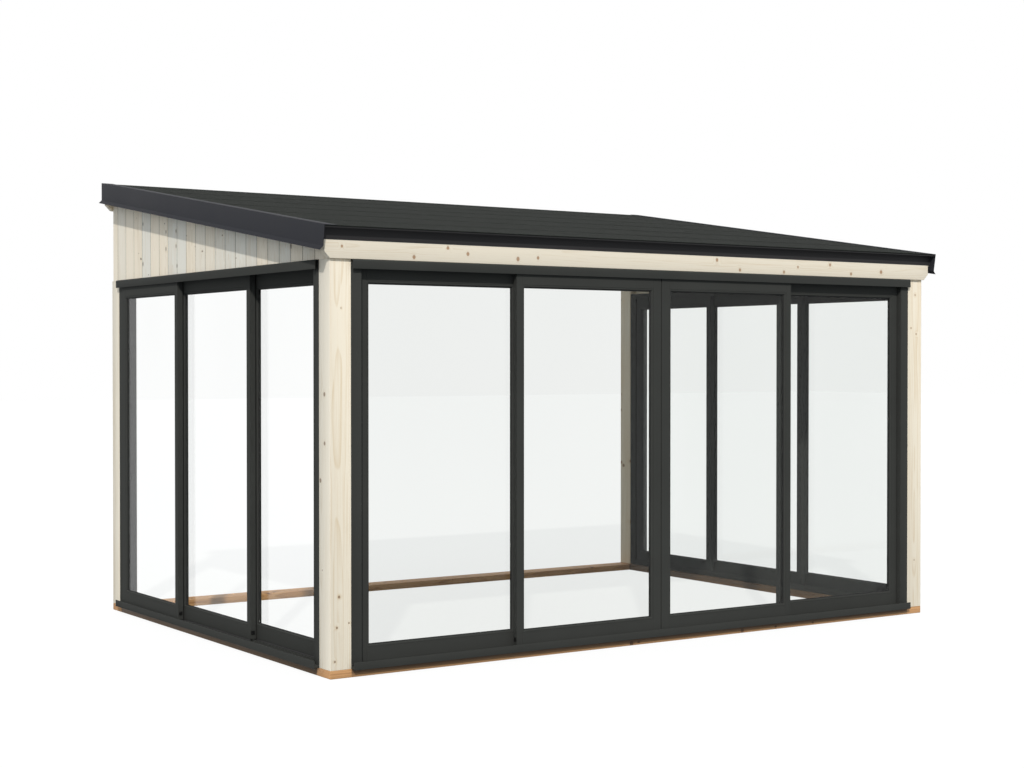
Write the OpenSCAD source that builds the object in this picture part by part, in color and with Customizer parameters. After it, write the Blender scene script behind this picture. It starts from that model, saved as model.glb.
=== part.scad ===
// Lean-to glazed garden room: timber frame, low mono-pitch felt roof and sliding glass walls on
// three sides. The fourth side is open and stands against a house wall.
// X runs along the front, -Y is the front, +Z is up. The base stands on z = 0.

/* [Room] */
// Width over the outer faces of the posts
room_w = 4210; // [3600:10:5000]
// Depth over the outer faces of the posts
room_d = 2980; // [2600:10:3600]
// Height from the ground to the underside of the front beam
eaves_h = 2108; // [1900:1:2400]
// Fall of the roof to the front, in degrees
roof_pitch = 8.6; // [6:0.1:14]

/* [Timber] */
// Side of the square corner posts
post = 120; // [90:1:160]
// Height of the base beams
base_h = 42; // [30:1:80]
// Width of the base beams
base_w = 145; // [120:1:200]
// Height of the front beam at its outer face
beam_h = 144; // [100:1:200]
// Height of the back beam at its outer face
back_beam_h = 152; // [110:1:200]
// Thickness of the front and back beams
beam_t = 42; // [42:1:100]
// How far the front beam stands proud of the posts
beam_proud = 16; // [5:1:40]
// How far the back beam and the roof stand proud of the back posts
back_proud = 20; // [0:1:40]
// How far the beams run past the posts at each side
beam_end = 42; // [20:1:60]
// Chamfer on the lower end corners of the beams
beam_chamfer = 36; // [10:1:45]
// Height of the rail over each side opening
header_h = 60; // [40:1:66]
// Thickness of the rail, rafters at the gables and gable studs
header_t = 60; // [40:1:80]
// Thickness of the gable cladding
clad_t = 20; // [12:1:30]
// Width of a rafter
rafter_w = 60; // [40:1:90]
// Depth of a rafter, square to the roof
rafter_h = 120; // [80:1:130]
// Depth of the rafter at each gable, square to the roof
end_rafter_h = 90; // [60:1:96]
// Number of rafters between the gables
rafter_n = 6; // [3:1:9]
// Width of a gable stud
stud_w = 45; // [30:1:70]
// Number of studs in each gable
stud_n = 3; // [1:1:5]

/* [Roof] */
// Thickness of the roof boards
deck_t = 20; // [15:1:30]
// Thickness of the roofing felt
felt_t = 4; // [2:0.5:8]
// Overhang of the roof boards past the posts at each side
side_out = 60; // [45:1:120]
// Overhang of the felt and its drip trim past the posts at the front
front_out = 57; // [45:1:120]
// Thickness of the folded metal trims
trim_t = 2; // [1:0.5:4]
// Depth of the verge trims, square to the roof
verge_h = 127; // [90:1:140]
// Drop and throw of the drip fold under a trim
drip = 20; // [10:1:30]
// Width of the trim flange that lies on the felt
flange_w = 70; // [30:1:120]
// Height of the front fascia trim on the beam
fascia_h = 75; // [50:1:120]
// Drop of the small fold at the front edge of the fascia trim
front_fold = 8; // [4:1:20]
// Depth of the verge board under the roof boards
verge_board_h = 60; // [40:1:70]

/* [Sliding walls] */
// Thickness of a sliding sash
sash_t = 34; // [26:1:44]
// Gap between sashes on neighbouring tracks
track_gap = 7; // [5:0.5:7]
// How far the outermost sashes stand proud of the posts
sash_proud = 8; // [0:1:10]
// Width of the stile that meets a jamb or another sash
lock_stile = 68; // [40:1:90]
// Width of the stile that closes on a jamb from an inner track
jamb_stile = 55; // [40:1:80]
// Width of the stile that overlaps the next sash
lap_stile = 50; // [35:1:70]
// Height of the top rail of a sash
top_rail = 90; // [60:1:120]
// Height of the bottom rail of a sash
bottom_rail = 84; // [60:1:120]
// Thickness of the glass
glass_t = 8; // [4:1:12]
// Depth of the glass behind the face of a sash
glass_set = 12; // [6:1:14]
// Width of a jamb
jamb_w = 60; // [40:1:80]
// Thickness of a jamb's plate against the post
jamb_plate_t = 8; // [4:1:20]
// How far the middle sash of a side wall reaches past its even place on the left
lap_shift_left = 15; // [0:1:60]
// How far the middle sash of a side wall reaches past its even place on the right
lap_shift_right = 38; // [0:1:60]
// How far the head cap stands proud of the posts
nose = 22; // [20:1:40]
// How far the sill lip stands proud of the posts
lip_proud = 30; // [20:1:40]
// Height of the head cap
cap_h = 48; // [40:1:70]
// Radius of the upper edge of the head cap
cap_r = 10; // [4:1:14]
// Height of the sill lip
lip_h = 40; // [36:1:70]
// Depth of the sill lip below the top of the base
lip_drop = 4; // [0:1:20]
// Thickness of the walls of the head and sill profiles
profile_t = 4; // [3:0.5:5]
// Thickness of the head plate and the sill plate
plate_t = 14; // [10:1:20]
// Height of a running rail on the sill plate
rail_h = 10; // [6:1:14]
// Width of a running rail
rail_w = 4; // [3:0.5:8]
// Depth of a guide fin under the head plate
fin_h = 26; // [20:1:30]
// Thickness of a guide fin
fin_t = 2; // [1.5:0.5:4]
// Clearance that each sash keeps from the guides and upstands beside it
guide_gap = 5; // [5:0.5:8]
// Height of the gap between a sash and the head plate
lift_gap = 14; // [10:1:18]
// Gap between a sash and a jamb, and between two meeting sashes
meet_gap = 5; // [5:0.5:8]
// Gap between a sash and the rail that it runs on
run_gap = 0.3; // [0.2:0.1:0.5]
// Gap between layers that are laid on each other, and between profiles that are clipped together
bed_gap = 0.05; // [0.02:0.01:0.1]

/* [Hidden] */
$fn = 48;

spruce = "#e6dbc3";
cladding = "#dcd5c3";
treated = "#b9875a";
anthracite = "#3a3b3c";
felt_green = "#3c423c";
clear_glass = "#e4ebe8";

// Roof lines. Each height follows the slope from the outer face of the front beam.
rise = tan(roof_pitch);
slope_t = 1 / cos(roof_pitch);
function deck_under(y) = eaves_h + beam_h + rise * (y + beam_proud);
function felt_under(y) = deck_under(y) + deck_t * slope_t;

// Front and back limits of the part, and the shift that centres it on the origin.
back_y = room_d + back_proud;
front_y = -front_out - trim_t * cos(roof_pitch) - (deck_t + felt_t + trim_t) * sin(roof_pitch);
y_shift = -(front_y + back_y) / 2;

// Heights in a sliding wall.
plate_top = base_h + plate_t;
head_under = eaves_h - plate_t;
sash_z = plate_top + rail_h + run_gap;
sash_h = head_under - lift_gap - sash_z;

// Openings between the posts, and the clear width between the jambs.
front_open = room_w - 2 * post;
side_open = room_d - 2 * post;
front_clear = front_open - 2 * jamb_w;
side_clear = side_open - 2 * jamb_w;

// Sash widths: meeting and lapping stiles line up, with the working gaps taken off.
front_sash_w = (front_clear - 3 * meet_gap + 2 * lap_stile) / 4;
side_even_w = (side_clear - 2 * meet_gap + 2 * lap_stile) / 3;
side_sash_w = [
    side_even_w - lap_shift_left,
    side_even_w + lap_shift_left + lap_shift_right,
    side_even_w - lap_shift_right
];

// Left edge of each sash, from the left end of its opening seen from outside.
front_step = front_sash_w - lap_stile;
front_x = [
    jamb_w + meet_gap,
    jamb_w + meet_gap + front_step,
    jamb_w + meet_gap + front_step + front_sash_w + meet_gap,
    jamb_w + meet_gap + 2 * front_step + front_sash_w + meet_gap
];
side_step = side_even_w - lap_stile;
side_x = [
    jamb_w + meet_gap,
    jamb_w + meet_gap + side_step - lap_shift_left,
    jamb_w + meet_gap + 2 * side_step + lap_shift_right
];

// Distance from one track to the next, and of each track's sash face behind the posts' outer face.
track_pitch = sash_t + track_gap;
function track_y(i) = -sash_proud + i * track_pitch;

// Inner face of a guide or upstand behind a track, and the inner edge of a sliding wall.
function guard_y(i) = track_y(i) + sash_t + guide_gap;
function wall_y(tracks) = guard_y(tracks - 1) + fin_t;

module at_origin() {
    translate([0, y_shift, 0]) children();
}

module place_front() {
    at_origin() translate([-room_w / 2 + post, 0, 0]) children();
}

module place_left() {
    at_origin() translate([-room_w / 2, room_d - post, 0]) rotate([0, 0, -90]) children();
}

module place_right() {
    at_origin() translate([room_w / 2, post, 0]) rotate([0, 0, 90]) children();
}

// A prism from x0 to x1 whose outline is drawn as [y, z] points.
module side_prism(x0, x1, points) {
    translate([x0, 0, 0]) rotate([90, 0, 90]) linear_extrude(x1 - x0) polygon(points);
}

// Base beams: front and back run full width, the sides fit between them.
module base_beam(w, d) {
    color(treated) cube([w, d, base_h]);
}

module base_front() {
    at_origin() translate([-room_w / 2, 0, 0]) base_beam(room_w, base_w);
}

module base_back() {
    at_origin() translate([-room_w / 2, room_d - base_w, 0]) base_beam(room_w, base_w);
}

module base_left() {
    at_origin() translate([-room_w / 2, base_w, 0]) base_beam(base_w, room_d - 2 * base_w);
}

module base_right() {
    at_origin() translate([room_w / 2 - base_w, base_w, 0]) base_beam(base_w, room_d - 2 * base_w);
}

// Inner faces of the two beams, and the underside of the back one.
beam_in = beam_t - beam_proud;
back_in = back_y - beam_t;
back_beam_z = deck_under(back_y) - back_beam_h;

// Corner posts stand on the base and carry the beams.
module front_post() {
    color(spruce) at_origin() translate([-room_w / 2, 0, base_h]) cube([post, post, eaves_h - base_h]);
}

// A back post is cut back above the side wall, where the cladding runs over it.
module back_post() {
    x = -room_w / 2;
    color(spruce) at_origin() translate([0, room_d, 0]) rotate([90, 0, 0]) linear_extrude(post) polygon([
        [x, base_h], [x + post, base_h], [x + post, back_beam_z],
        [x + clad_t, back_beam_z], [x + clad_t, eaves_h], [x, eaves_h]
    ]);
}

module post_front_left() {
    front_post();
}

module post_front_right() {
    mirror([1, 0, 0]) front_post();
}

module post_back_left() {
    back_post();
}

module post_back_right() {
    mirror([1, 0, 0]) back_post();
}

// A beam from y0 to y1 with its top planed to the roof slope and its lower end corners chamfered.
module roof_beam(y0, y1, z0) {
    half = room_w / 2 + beam_end;
    top = deck_under(y1);
    color(spruce) at_origin() intersection() {
        side_prism(-half, half, [[y0, z0], [y1, z0], [y1, deck_under(y1)], [y0, deck_under(y0)]]);
        translate([0, y1, 0]) rotate([90, 0, 0]) linear_extrude(y1 - y0) polygon([
            [-half + beam_chamfer, z0], [half - beam_chamfer, z0], [half, z0 + beam_chamfer],
            [half, top], [-half, top], [-half, z0 + beam_chamfer]
        ]);
    }
}

module front_beam() {
    roof_beam(-beam_proud, beam_in, eaves_h);
}

module back_beam() {
    roof_beam(back_in, back_y, back_beam_z);
}

// Rails over the side openings, one behind each gable's cladding.
module side_headers() {
    color(spruce) at_origin() for (x = [-room_w / 2 + clad_t, room_w / 2 - clad_t - header_t])
        translate([x, post, eaves_h]) cube([header_t, side_open, header_h]);
}

// A rafter between the beams, planed flush with their tops.
module rafter(x, w, h) {
    drop = h * slope_t;
    side_prism(x, x + w, [
        [beam_in, deck_under(beam_in) - drop], [back_in, deck_under(back_in) - drop],
        [back_in, deck_under(back_in)], [beam_in, deck_under(beam_in)]
    ]);
}

module rafters() {
    color(spruce) at_origin() {
        for (i = [1 : rafter_n])
            rafter(-room_w / 2 + i * room_w / (rafter_n + 1) - rafter_w / 2, rafter_w, rafter_h);
        rafter(-room_w / 2 + clad_t, header_t, end_rafter_h);
        rafter(room_w / 2 - clad_t - header_t, header_t, end_rafter_h);
    }
}

// Studs between each side rail and the gable rafter.
module gable_studs() {
    under = end_rafter_h * slope_t;
    color(spruce) at_origin() for (x = [-room_w / 2 + clad_t, room_w / 2 - clad_t - header_t])
        for (i = [1 : stud_n]) {
            y0 = post + i * side_open / (stud_n + 1) - stud_w / 2;
            y1 = y0 + stud_w;
            side_prism(x, x + header_t, [
                [y0, eaves_h + header_h], [y1, eaves_h + header_h],
                [y1, deck_under(y1) - under - bed_gap], [y0, deck_under(y0) - under - bed_gap]
            ]);
        }
}

// Upright cladding boards of a gable from beam to beam, flush with the outer faces of the posts.
module gable_boards(x) {
    color(cladding) at_origin() side_prism(x, x + clad_t, [
        [beam_in, eaves_h], [back_in, eaves_h], [back_in, deck_under(back_in)], [beam_in, deck_under(beam_in)]
    ]);
}

module gable_boards_left() {
    gable_boards(-room_w / 2);
}

module gable_boards_right() {
    gable_boards(room_w / 2 - clad_t);
}

// A layer of the roof between two distances square to the slope, measured from the roof boards'
// underside. The front edge is cut square to the slope, and the back edge is upright.
module roof_layer(x0, x1, y0, low, high) {
    lean = sin(roof_pitch);
    side_prism(x0, x1, [
        [y0 - low * lean, deck_under(y0) + low / slope_t],
        [back_y, deck_under(back_y) + low * slope_t],
        [back_y, deck_under(back_y) + high * slope_t],
        [y0 - high * lean, deck_under(y0) + high / slope_t]
    ]);
}

roof_x = room_w / 2 + side_out;

// The roof boards start at the face of the front beam.
module roof_boards() {
    color(spruce) at_origin() roof_layer(-roof_x, roof_x, -beam_proud + deck_t * sin(roof_pitch), bed_gap, deck_t);
}

// The felt runs on over the drip trim at the front.
module roof_felt() {
    color(felt_green) at_origin() roof_layer(-roof_x, roof_x, -front_out, deck_t + bed_gap, deck_t + felt_t);
}

// Boards under the edges of the roof boards, between the beam ends and the verge trims.
module verge_boards() {
    t = side_out - beam_end;
    color(spruce) at_origin() for (x = [-roof_x, roof_x - t])
        roof_layer(x, x + t, -beam_proud, -verge_board_h, 0);
}

// Outline of a verge trim seen along the slope: flange on the felt, upright face, drip fold.
function verge_outline() = let (
    t = trim_t,
    top = deck_t + felt_t + bed_gap,
    low = top + t - verge_h,
    fold = t * (sqrt(2) - 1)
) [
    [flange_w, top], [flange_w, top + t], [-t, top + t], [-t, low + drip - fold],
    [-t - drip + fold, low], [-drip - t + fold + t * sqrt(2), low], [0, low + drip], [0, top]
];

// The verge trim runs up the slope, square at the front and upright at the back wall.
module verge_trim() {
    run = (back_y + front_out) * slope_t + verge_h;
    color(anthracite) at_origin() intersection() {
        translate([-roof_x, -front_out, deck_under(-front_out)]) rotate([roof_pitch, 0, 0])
            translate([0, run, 0]) rotate([90, 0, 0]) linear_extrude(run + trim_t) polygon(verge_outline());
        translate([-room_w, -room_d, 0]) cube([2 * room_w, room_d + back_y, 2 * eaves_h]);
    }
}

module verge_trim_left() {
    verge_trim();
}

module verge_trim_right() {
    mirror([1, 0, 0]) verge_trim();
}

// Front fascia trim: an upright face on the beam and the ends of the roof boards, a flange that
// carries the felt forward, and a small fold down at its front edge.
module front_fascia() {
    t = trim_t;
    y0 = -beam_proud;
    y1 = -front_out;
    z0 = felt_under(y0) + felt_t - fascia_h;
    color(anthracite) at_origin() side_prism(-roof_x, roof_x, [
        [y0, z0], [y0, felt_under(y0)], [y1, felt_under(y1)], [y1, felt_under(y1) - front_fold],
        [y1 + t, felt_under(y1) - front_fold], [y1 + t, felt_under(y1 + t) - t],
        [y0 - t, felt_under(y0 - t) - t], [y0 - t, z0]
    ]);
}

// A length of a sliding wall's profile, drawn as depth and height, from x0 to x1.
module wall_profile(x0, x1) {
    translate([x0, 0, 0]) rotate([90, 0, 90]) linear_extrude(x1 - x0) children();
}

// Head of a sliding wall: plate and clipped-on rounded cap over the whole width, and a guide rib
// over each sash and a fin behind the last one, from jamb to jamb.
module wall_head(w, tracks) {
    back = wall_y(tracks);
    color(anthracite) {
        wall_profile(0, w) {
            translate([0, head_under]) square([back, plate_t]);
            translate([-nose, eaves_h - cap_h]) square([profile_t, cap_h - cap_r]);
            translate([-nose + cap_r, eaves_h - profile_t]) square([nose - cap_r - bed_gap, profile_t]);
            translate([-nose + cap_r, eaves_h - cap_r]) intersection() {
                difference() {
                    circle(cap_r);
                    circle(cap_r - profile_t);
                }
                translate([-cap_r, 0]) square(cap_r);
            }
        }
        wall_profile(jamb_w, w - jamb_w) {
            for (i = [0 : tracks - 1])
                translate([track_y(i) + (sash_t - rail_w) / 2, head_under - lift_gap + guide_gap])
                    square([rail_w, lift_gap - guide_gap - bed_gap]);
            translate([back - fin_t, head_under - fin_h]) square([fin_t, fin_h - bed_gap]);
        }
    }
}

// Sill of a sliding wall: plate and clipped-on lip over the whole width, and a running rail for
// each track and an upstand behind the last one, from jamb to jamb.
module wall_sill(w, tracks) {
    back = wall_y(tracks);
    lip_back = -lip_proud + profile_t + bed_gap;
    color(anthracite) {
        wall_profile(0, w) {
            translate([lip_back, base_h]) square([back - lip_back, plate_t]);
            translate([-lip_proud, base_h - lip_drop]) square([profile_t, lip_h]);
        }
        wall_profile(jamb_w, w - jamb_w) {
            for (i = [0 : tracks - 1])
                translate([track_y(i) + (sash_t - rail_w) / 2, plate_top + bed_gap])
                    square([rail_w, rail_h - bed_gap]);
            translate([back - fin_t, plate_top + bed_gap]) square([fin_t, fin_h - bed_gap]);
        }
    }
}

// Jamb of a sliding wall, with its flat side at x = 0: a plate over the whole depth, and a closing
// profile that covers the tracks up to the one that closes on it.
module wall_jamb(tracks, last_track) {
    deep = last_track == tracks - 1 ? wall_y(tracks) : guard_y(last_track);
    color(anthracite) translate([0, 0, plate_top]) linear_extrude(head_under - plate_top) union() {
        square([jamb_w, deep]);
        square([jamb_plate_t, wall_y(tracks)]);
    }
}

// The two jambs stand on the sill plate and stop under the head plate.
module wall_jambs(w, tracks, left_track) {
    wall_jamb(tracks, left_track);
    translate([w, 0, 0]) mirror([1, 0, 0]) wall_jamb(tracks, tracks - 1);
}

// A sash frame, w wide, with its own stile width at each side.
module sash_frame(w, left_stile, right_stile) {
    color(anthracite) difference() {
        cube([w, sash_t, sash_h]);
        translate([left_stile, -1, bottom_rail])
            cube([w - left_stile - right_stile, sash_t + 2, sash_h - bottom_rail - top_rail]);
    }
}

// The glass of a sash, from edge to edge of its frame's opening.
module sash_pane(w, left_stile, right_stile) {
    color(clear_glass, 0.35) translate([left_stile, glass_set, bottom_rail])
        cube([w - left_stile - right_stile, glass_t, sash_h - bottom_rail - top_rail]);
}

// Front sashes: the outer pair runs on the inner track, the middle pair on the outer one.
front_track = [1, 0, 0, 1];
front_left_stile = [jamb_stile, lap_stile, lock_stile, lap_stile];
front_right_stile = [lap_stile, lock_stile, lap_stile, jamb_stile];

module front_sash_place(i) {
    place_front() translate([front_x[i], track_y(front_track[i]), sash_z]) children();
}

module front_sash(i) {
    front_sash_place(i) sash_frame(front_sash_w, front_left_stile[i], front_right_stile[i]);
}

module front_pane(i) {
    front_sash_place(i) sash_pane(front_sash_w, front_left_stile[i], front_right_stile[i]);
}

// Side sashes: numbered from the left seen from outside, each one track further in.
side_left_stile = [lock_stile, lap_stile, lap_stile];
side_right_stile = [lap_stile, lap_stile, jamb_stile];

module side_sash_place(i) {
    translate([side_x[i], track_y(i), sash_z]) children();
}

module side_sash(i) {
    side_sash_place(i) sash_frame(side_sash_w[i], side_left_stile[i], side_right_stile[i]);
}

module side_pane(i) {
    side_sash_place(i) sash_pane(side_sash_w[i], side_left_stile[i], side_right_stile[i]);
}

base_front();
base_back();
base_left();
base_right();
post_front_left();
post_front_right();
post_back_left();
post_back_right();
front_beam();
back_beam();
side_headers();
rafters();
gable_studs();
gable_boards_left();
gable_boards_right();
roof_boards();
roof_felt();
verge_boards();
verge_trim_left();
verge_trim_right();
front_fascia();
place_front() wall_head(front_open, 2);  // front_head
place_front() wall_sill(front_open, 2);  // front_sill
place_front() wall_jambs(front_open, 2, 1);  // front_jambs
place_left() wall_head(side_open, 3);  // left_head
place_left() wall_sill(side_open, 3);  // left_sill
place_left() wall_jambs(side_open, 3, 0);  // left_jambs
place_right() wall_head(side_open, 3);  // right_head
place_right() wall_sill(side_open, 3);  // right_sill
place_right() wall_jambs(side_open, 3, 0);  // right_jambs
for (i = [0 : 3]) {
    front_sash(i);
    front_pane(i);
}
for (i = [0 : 2]) {
    place_left() side_sash(i);
    place_left() side_pane(i);
    place_right() side_sash(i);
    place_right() side_pane(i);
}
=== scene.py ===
"""Looks of a lean-to glazed garden room: planed spruce frame, clad gables, felt roof, powder-coated
sliding glass walls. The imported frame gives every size; this script dresses it."""
import bpy, bmesh, math, random
from functools import partial
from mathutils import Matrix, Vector


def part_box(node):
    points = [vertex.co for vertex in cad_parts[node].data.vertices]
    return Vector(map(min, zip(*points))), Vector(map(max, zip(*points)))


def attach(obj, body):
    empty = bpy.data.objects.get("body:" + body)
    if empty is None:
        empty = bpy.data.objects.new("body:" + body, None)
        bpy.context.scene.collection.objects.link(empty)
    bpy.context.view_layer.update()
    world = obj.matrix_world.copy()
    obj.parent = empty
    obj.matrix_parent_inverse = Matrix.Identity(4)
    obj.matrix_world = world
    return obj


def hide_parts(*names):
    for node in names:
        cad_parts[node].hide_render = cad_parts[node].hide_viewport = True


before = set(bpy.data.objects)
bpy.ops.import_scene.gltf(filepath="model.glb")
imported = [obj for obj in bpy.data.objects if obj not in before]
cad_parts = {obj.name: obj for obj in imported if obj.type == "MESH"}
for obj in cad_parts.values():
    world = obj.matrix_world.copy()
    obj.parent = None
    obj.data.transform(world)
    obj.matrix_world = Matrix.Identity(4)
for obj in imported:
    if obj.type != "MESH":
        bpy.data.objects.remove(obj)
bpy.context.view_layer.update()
scene = bpy.context.scene
HOUSE = "building"

# ---- places that the pieces below start from, in metres ----
LEFT_POST_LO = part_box("post_front_left")[0]
RIGHT_POST_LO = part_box("post_front_right")[0]
BEAM_LO, BEAM_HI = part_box("front_beam")
BACK_BEAM_LO, BACK_BEAM_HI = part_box("back_beam")
DECK_LO, DECK_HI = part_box("roof_boards")
FELT_LO, FELT_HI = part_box("roof_felt")
CLAD_LO, CLAD_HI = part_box("gable_boards_left")
FRONT_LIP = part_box("front_sill")
SIDE_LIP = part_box("left_sill")
BASE_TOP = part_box("base_front")[1].z
PITCH = math.radians(8.6)
RISE = math.tan(PITCH)
DECK_T = 0.020
SILL_PLATE_T = 0.014
X, Y, Z = 0, 1, 2


def deck_under(y):
    """Height of the roof boards' underside."""
    return CLAD_HI.z + RISE * (y - CLAD_HI.y)


# ---- node trees ----
def feed(tree, socket, value):
    """Links or sets a socket, whichever the value calls for."""
    if isinstance(value, bpy.types.Node):
        value = value.outputs[0]
    if isinstance(value, bpy.types.NodeSocket):
        tree.links.new(value, socket)
    else:
        socket.default_value = value


def add(tree, kind, sockets=None, **settings):
    """A new node with its settings and its sockets fed."""
    made = tree.nodes.new(kind)
    for key, value in settings.items():
        setattr(made, key, value)
    for socket, value in (sockets or {}).items():
        feed(tree, made.inputs[socket], value)
    return made


def calc(tree, operation, *values):
    """The outcome of one step of arithmetic."""
    return add(tree, "ShaderNodeMath", dict(enumerate(values)), operation=operation).outputs[0]


def length(tree, a, b):
    """Length of the diagonal of a and b."""
    squares = [calc(tree, "MULTIPLY", side, side) for side in (a, b)]
    return calc(tree, "SQRT", calc(tree, "ADD", *squares))


def scaled(tree, vector, factors):
    """A vector with each axis times its factor."""
    return add(tree, "ShaderNodeVectorMath", {0: vector, 1: factors}, operation="MULTIPLY").outputs[0]


def split(tree, vector):
    """The three parts of a vector."""
    return add(tree, "ShaderNodeSeparateXYZ", {0: vector}).outputs


def joined(tree, x=0.0, y=0.0, z=0.0):
    """A vector of three parts."""
    return add(tree, "ShaderNodeCombineXYZ", {0: x, 1: y, 2: z})


def room_place(tree):
    """The place in the room, because every piece's object stands at the origin."""
    return add(tree, "ShaderNodeTexCoord").outputs["Object"]


def noise(tree, vector, scale, detail=2.0, rough=0.5):
    """The value and the colour of a noise."""
    made = add(tree, "ShaderNodeTexNoise", {
        "Vector": vector, "Scale": scale, "Detail": detail, "Roughness": rough,
    })
    return made.outputs[0], made.outputs[1]


def ramp(tree, value, low, high, to_low=0.0, to_high=1.0):
    """A soft step from to_low to to_high as value goes from low to high."""
    sockets = {0: value, 1: low, 2: high, 3: to_low, 4: to_high}
    return add(tree, "ShaderNodeMapRange", sockets, interpolation_type="SMOOTHSTEP").outputs[0]


def blend(tree, factor, a, b):
    """Colour a where factor is 0, b where it is 1."""
    made = add(tree, "ShaderNodeMix", data_type="RGBA")
    for socket, value in ((0, factor), (6, a), (7, b)):
        feed(tree, made.inputs[socket], value)
    return made.outputs[2]


def rgb(r, g, b):
    """A colour written as it looks, from 0 to 255, made linear."""
    def line(v):
        v /= 255
        return v / 12.92 if v <= 0.04045 else ((v + 0.055) / 1.055) ** 2.4
    return (line(r), line(g), line(b), 1.0)


def toned(colour, share):
    """A colour made darker or lighter by a share."""
    return tuple(share * c for c in colour[:3]) + (1.0,)


def finish(name, **plain):
    """A new material and its tree and main shader, with plain values set on the shader."""
    mat = bpy.data.materials.new(name)
    mat.use_nodes = True
    tree = mat.node_tree
    shader = tree.nodes["Principled BSDF"]
    for socket, value in plain.items():
        shader.inputs[socket.replace("_", " ")].default_value = value
    return mat, tree, shader


def bump(tree, shader, height, depth, strength):
    """Relief on a surface, where a height of 1 stands depth metres high."""
    made = add(tree, "ShaderNodeBump", {"Height": height, "Distance": depth, "Strength": strength})
    feed(tree, shader.inputs["Normal"], made)


# ---- timber ----
CELLS_ALONG = 2.3     # places for a knot in a metre of length
CELLS_ROUND = 2.1     # and in a radian round the heart
KNOT_WEIGHT = 0.8     # what length counts for, which makes knots a little longer than wide
KNOT_RADIUS = 0.0035  # of the smallest knot
KNOT_SPAN = 0.0075    # from the smallest radius to the largest
NO_KNOT = 40.0        # radii added where a place holds no knot
SWIRL = 0.005         # how far a knot pushes the rings aside
HALO = 0.22           # how much darker the timber is round a knot

# noise scales (along, across, outwards) of the timber's figure, and what each counts for
WANDER, WANDER_BY = (0.9, 7.0, 7.0), (0.030, 0.034)      # of the heart, in metres
WAVER, WAVER_BY = (0.6, 12.0, 12.0), 2.2                 # of the rings, in rings
STREAK, STREAK_BY = (2.2, 110.0, 110.0), 1.1
FIBRE, FIBRE_BY = (22.0, 900.0, 900.0), 0.35
CLOUD = (1.1, 9.0, 9.0)
GRAIN_DEPTH = 0.0004


def nearest_knot(tree, along, turn, reach, share, placed, flat):
    """Distance to the nearest knot, in its radii: one in a share of the places round the heart,
    and the placed ones, each (place in the room, radius), measured with the axes weighed by flat."""
    m = partial(calc, tree)
    spot = joined(tree, m("MULTIPLY", along, CELLS_ALONG), m("MULTIPLY", turn, CELLS_ROUND))
    cells = add(tree, "ShaderNodeTexVoronoi", {"Vector": spot, "Scale": 1.0}, voronoi_dimensions="2D")
    middle = split(tree, cells.outputs["Position"])
    dice = add(tree, "ShaderNodeSeparateColor", {0: cells.outputs["Color"]}).outputs
    off_along = m("SUBTRACT", along, m("DIVIDE", middle[0], CELLS_ALONG))
    off_turn = m("SUBTRACT", turn, m("DIVIDE", middle[1], CELLS_ROUND))
    gap = length(tree, m("MULTIPLY", off_along, KNOT_WEIGHT), m("MULTIPLY", off_turn, reach))
    near = m("DIVIDE", gap, m("MULTIPLY_ADD", dice[0], KNOT_SPAN, KNOT_RADIUS))
    near = m("ADD", near, m("MULTIPLY", m("GREATER_THAN", dice[1], share), NO_KNOT))
    room = scaled(tree, room_place(tree), flat)
    for place, radius in placed:
        spot = tuple(a * b for a, b in zip(place, flat))
        gap = add(tree, "ShaderNodeVectorMath", {0: room, 1: spot}, operation="DISTANCE")
        near = m("MINIMUM", near, m("DIVIDE", gap.outputs["Value"], radius))
    return near


def late_wood(tree, grain, reach, ring):
    """1 in the dark line that ends each year ring, 0 in the pale wood between."""
    m = partial(calc, tree)
    waver = noise(tree, scaled(tree, grain, WAVER), 1.0, 1.0)[0]
    rings = m("ADD", m("DIVIDE", reach, ring), m("MULTIPLY", waver, WAVER_BY))
    late = m("FRACT", rings)
    return m("MULTIPLY", m("POWER", late, 3.0), ramp(tree, late, 0.9, 1.0, 1.0, 0.0))


LIP_SHADOW_TOP, LIP_SHADOW_AT_TOP = 0.030, 0.85      # height, and the share of painted lip shadow there
LIP_SHADOW_IN, LIP_SHADOW_OUT = 0.006, 0.004         # where the painted shadow ends: from inside a lip's end to past it


def lip_shadow_share(tree, axis, low, high, foot):
    """The share of painted shadow in the timber under a sill's lip, from low to high on the axis: the
    lip's cast shadow, darkened into the colour.
    """
    m = partial(calc, tree)
    at = split(tree, room_place(tree))
    off = m("ABSOLUTE", m("SUBTRACT", at[axis], (low + high) / 2))
    half = (high - low) / 2
    under = ramp(tree, off, half - LIP_SHADOW_IN, half + LIP_SHADOW_OUT, 1.0, 0.0)
    return m("MULTIPLY", under, ramp(tree, at[Z], 0.0, LIP_SHADOW_TOP, foot, LIP_SHADOW_AT_TOP))


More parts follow.
